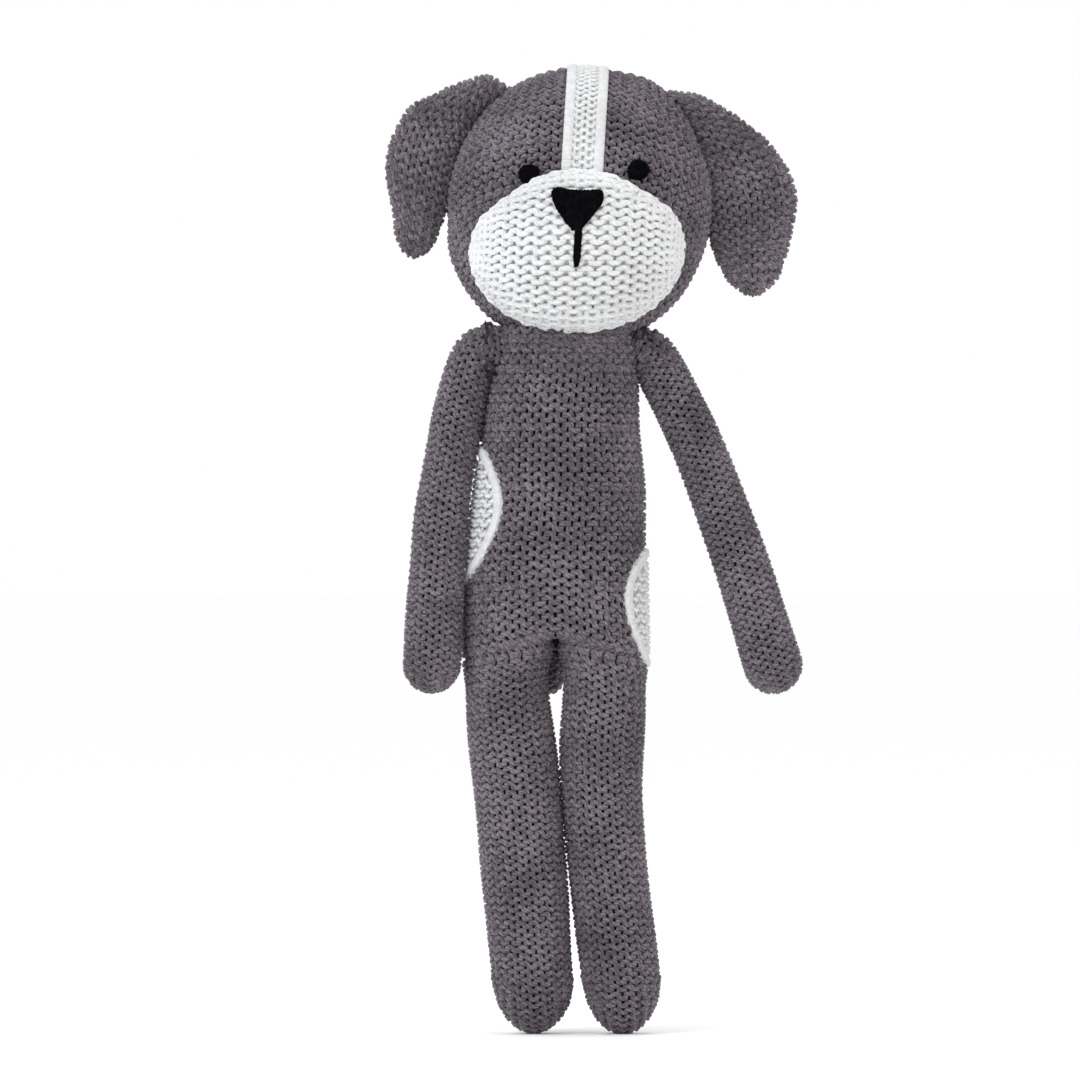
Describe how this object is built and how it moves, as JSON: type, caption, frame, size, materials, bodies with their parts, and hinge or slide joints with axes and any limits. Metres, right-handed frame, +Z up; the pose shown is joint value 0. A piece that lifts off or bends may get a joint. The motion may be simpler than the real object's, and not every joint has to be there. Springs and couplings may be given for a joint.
{
  "type": "plush dog",
  "caption": "Knitted plush dog with long tube arms and legs, a round head with floppy ears, a white muzzle and blaze, white side patches and a small tail; its neck, limbs, ears and tail bend.",
  "frame": {"origin": "bottom centre of the dog's box, level with the tips of its feet", "axes": "+Z up from the feet to the crown, -Y the way the dog faces, +X its own left"},
  "size_m": [0.1618, 0.1082, 0.3818],
  "materials": {
    "grey_knit": "matte",
    "white_knit": "matte",
    "white_thread": "matte",
    "black_thread": "matte",
    "filling": "matte"
  },
  "bodies": {
    "torso": {"torso_cover": "grey_knit", "torso_stuffing": "filling", "hip_patch_left": "white_knit", "hip_patch_border_left": "white_thread", "hip_patch_right": "white_knit", "hip_patch_border_right": "white_thread"},
    "neck": {"neck_stuffing": "filling"},
    "head": {"head_cover": "grey_knit", "head_stuffing": "filling", "muzzle_cover": "white_knit", "muzzle_stuffing": "filling", "blaze": "white_knit", "blaze_border_left": "white_thread", "blaze_border_right": "white_thread", "nose": "black_thread", "mouth": "black_thread", "eye_left": "black_thread", "eye_right": "black_thread"},
    "ear_left": {"ear_left_cover": "grey_knit", "ear_left_padding": "filling"},
    "ear_right": {"ear_right_cover": "grey_knit", "ear_right_padding": "filling"},
    "tail": {"tail_cover": "grey_knit", "tail_stuffing": "filling"},
    "shoulder_left": {"shoulder_left_wad": "filling"},
    "arm_left_upper": {"arm_left_upper_cover": "grey_knit", "arm_left_upper_stuffing": "filling"},
    "leg_left_upper": {"leg_left_upper_cover": "grey_knit", "leg_left_upper_stuffing": "filling"},
    "arm_left_lower": {"arm_left_lower_cover": "grey_knit", "arm_left_lower_stuffing": "filling"},
    "leg_left_lower": {"leg_left_lower_cover": "grey_knit", "leg_left_lower_stuffing": "filling"},
    "shoulder_right": {"shoulder_right_wad": "filling"},
    "arm_right_upper": {"arm_right_upper_cover": "grey_knit", "arm_right_upper_stuffing": "filling"},
    "leg_right_upper": {"leg_right_upper_cover": "grey_knit", "leg_right_upper_stuffing": "filling"},
    "arm_right_lower": {"arm_right_lower_cover": "grey_knit", "arm_right_lower_stuffing": "filling"},
    "leg_right_lower": {"leg_right_lower_cover": "grey_knit", "leg_right_lower_stuffing": "filling"}
  },
  "joints": [
    {"name": "neck_turn", "type": "hinge", "parent": "torso", "child": "neck", "pos_m": [-0.01067, 0.00607, 0.25691], "axis": [0, 0, 1], "range_deg": [-40, 40], "stiffness_Nm_per_rad": 0.12},
    {"name": "head_nod", "type": "hinge", "parent": "neck", "child": "head", "pos_m": [-0.01067, 0.00607, 0.25691], "axis": [1, 0, 0], "range_deg": [-15, 15], "stiffness_Nm_per_rad": 0.15},
    {"name": "ear_left_lift", "type": "hinge", "parent": "head", "child": "ear_left", "pos_m": [0.03406, 0.00407, 0.36739], "axis": [0, -1, 0], "range_deg": [0, 70], "stiffness_Nm_per_rad": 0.01},
    {"name": "ear_right_lift", "type": "hinge", "parent": "head", "child": "ear_right", "pos_m": [-0.03894, 0.00407, 0.37286], "axis": [0, 1, 0], "range_deg": [0, 70], "stiffness_Nm_per_rad": 0.01},
    {"name": "shoulder_left_swing", "type": "hinge", "parent": "torso", "child": "shoulder_left", "pos_m": [0.02673, 0.00607, 0.26441], "axis": [-1, 0, 0], "range_deg": [-50, 85], "stiffness_Nm_per_rad": 0.03},
    {"name": "shoulder_left_lift", "type": "hinge", "parent": "shoulder_left", "child": "arm_left_upper", "pos_m": [0.02673, 0.00607, 0.26441], "axis": [0, -1, 0], "range_deg": [0, 70], "stiffness_Nm_per_rad": 0.03},
    {"name": "elbow_left_bend", "type": "hinge", "parent": "arm_left_upper", "child": "arm_left_lower", "pos_m": [0.04803, 0.00607, 0.21161], "axis": [-0.9274, 0, -0.3741], "range_deg": [-60, 60], "stiffness_Nm_per_rad": 0.03},
    {"name": "shoulder_right_swing", "type": "hinge", "parent": "torso", "child": "shoulder_right", "pos_m": [-0.05047, 0.00607, 0.26441], "axis": [-1, 0, 0], "range_deg": [-50, 85], "stiffness_Nm_per_rad": 0.03},
    {"name": "shoulder_right_lift", "type": "hinge", "parent": "shoulder_right", "child": "arm_right_upper", "pos_m": [-0.05047, 0.00607, 0.26441], "axis": [0, 1, 0], "range_deg": [0, 80], "stiffness_Nm_per_rad": 0.03},
    {"name": "elbow_right_bend", "type": "hinge", "parent": "arm_right_upper", "child": "arm_right_lower", "pos_m": [-0.05987, 0.00117, 0.20841], "axis": [-0.9862, 0, 0.1655], "range_deg": [-60, 60], "stiffness_Nm_per_rad": 0.03},
    {"name": "hip_left_swing", "type": "hinge", "parent": "torso", "child": "leg_left_upper", "pos_m": [0.00333, 0.00607, 0.13591], "axis": [-1, 0, 0], "range_deg": [-25, 85], "stiffness_Nm_per_rad": 0.06},
    {"name": "knee_left_bend", "type": "hinge", "parent": "leg_left_upper", "child": "leg_left_lower", "pos_m": [0.00213, 0.00607, 0.07491], "axis": [1, 0, 0], "range_deg": [-60, 60], "stiffness_Nm_per_rad": 0.05},
    {"name": "hip_right_swing", "type": "hinge", "parent": "torso", "child": "leg_right_upper", "pos_m": [-0.03557, 0.00607, 0.13591], "axis": [-1, 0, 0], "range_deg": [-25, 85], "stiffness_Nm_per_rad": 0.06},
    {"name": "knee_right_bend", "type": "hinge", "parent": "leg_right_upper", "child": "leg_right_lower", "pos_m": [-0.03087, 0.00607, 0.07491], "axis": [1, 0, 0], "range_deg": [-60, 60], "stiffness_Nm_per_rad": 0.05},
    {"name": "tail_lift", "type": "hinge", "parent": "torso", "child": "tail", "pos_m": [-0.01587, 0.03797, 0.16591], "axis": [1, 0, 0], "range_deg": [0, 80], "stiffness_Nm_per_rad": 0.01}
  ]
}
